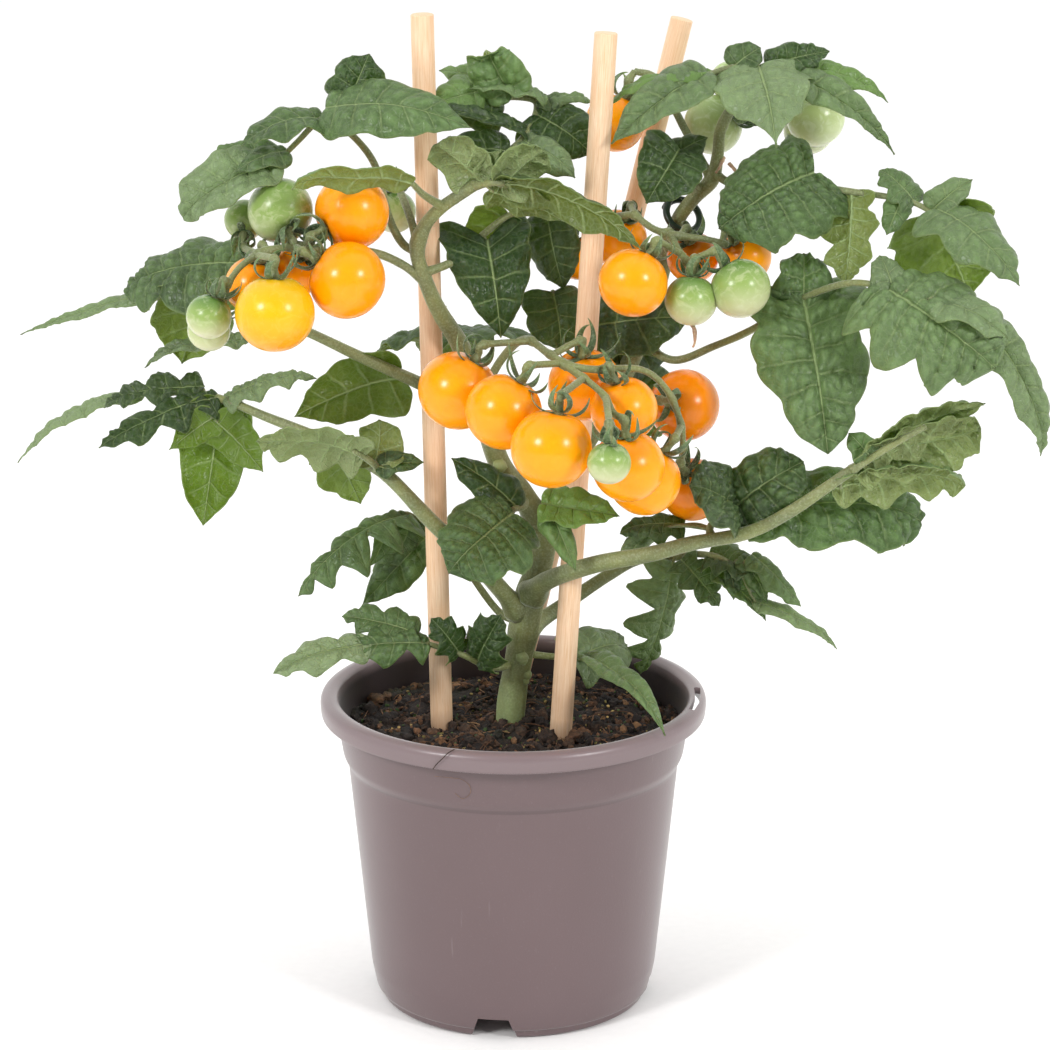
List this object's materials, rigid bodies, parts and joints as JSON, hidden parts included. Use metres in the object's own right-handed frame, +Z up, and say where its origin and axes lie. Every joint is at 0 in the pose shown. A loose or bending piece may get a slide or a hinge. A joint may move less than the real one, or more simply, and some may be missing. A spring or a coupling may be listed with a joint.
{
  "type": "potted tomato plant",
  "caption": "Bushy dwarf tomato plant in a round tapered plastic grower's pot of soil, held by thin wooden canes, with lobed leaves and trusses of ripening orange and green cherry fruit.",
  "frame": {"origin": "on the floor at the middle of the whole plant's box, which is the axis of the pot", "axes": "+Z up out of the pot, -Y towards the front of the plant, +X to the right seen from the front"},
  "size_m": [0.3701, 0.1987, 0.3611],
  "materials": {
    "pot": "satin moulded plastic, lightly scuffed",
    "soil": "moist crumbly potting soil with bark bits",
    "cane": "smooth bare pale wood",
    "ring": "smooth dark green plastic",
    "stem": "ridged green stem with fine pale hairs",
    "leaf": "quilted satin leaf, paler beneath, with fine hairs",
    "ripe_fruit": "smooth waxy orange skin",
    "deep_ripe_fruit": "smooth waxy deep orange skin",
    "yellow_fruit": "smooth waxy yellow-orange skin",
    "green_fruit": "smooth waxy green skin, darker at the shoulder",
    "pale_fruit": "smooth waxy pale green skin"
  },
  "bodies": {
    "root": {"cane_back": "cane", "cane_left": "cane", "cane_right": "cane", "fruit_left_back": "ripe_fruit", "fruit_left_green": "green_fruit", "fruit_left_inner": "green_fruit", "fruit_left_middle": "ripe_fruit", "fruit_left_small": "green_fruit", "fruit_left_upper": "ripe_fruit", "fruit_left_yellow": "yellow_fruit", "fruit_middle_1": "ripe_fruit", "fruit_middle_2": "ripe_fruit", "fruit_middle_3": "ripe_fruit", "fruit_middle_4": "ripe_fruit", "fruit_middle_5": "ripe_fruit", "fruit_middle_green": "green_fruit", "fruit_middle_last": "deep_ripe_fruit", "fruit_middle_low": "ripe_fruit", "fruit_middle_side": "deep_ripe_fruit", "fruit_right_back": "ripe_fruit", "fruit_right_front": "ripe_fruit", "fruit_right_green": "green_fruit", "fruit_right_inner": "deep_ripe_fruit", "fruit_right_side": "ripe_fruit", "fruit_top_back": "ripe_fruit", "fruit_top_green": "pale_fruit", "fruit_top_right": "pale_fruit", "leaf_back_left": "leaf", "leaf_back_right": "leaf", "leaf_centre": "leaf", "leaf_centre_low": "leaf", "leaf_crown": "leaf", "leaf_heart": "leaf", "leaf_left_far": "leaf", "leaf_left_inner": "leaf", "leaf_left_upper": "leaf", "leaf_long_left": "leaf", "leaf_long_right": "leaf", "leaf_low_left": "leaf", "leaf_low_left_bottom": "leaf", "leaf_low_left_cut": "leaf", "leaf_low_right": "leaf", "leaf_low_right_back": "leaf", "leaf_low_right_side": "leaf", "leaf_right_inner": "leaf", "leaf_right_middle": "leaf", "leaf_right_top": "leaf", "leaf_soil_right": "leaf", "leaf_top_centre": "leaf", "leaf_top_left": "leaf", "leaf_under_truss": "leaf", "pot": "pot", "soil": "soil", "stems": "stem", "tie_ring": "ring", "truss_left": "stem", "truss_middle": "stem", "truss_right": "stem", "truss_top": "stem"}
  },
  "joints": []
}
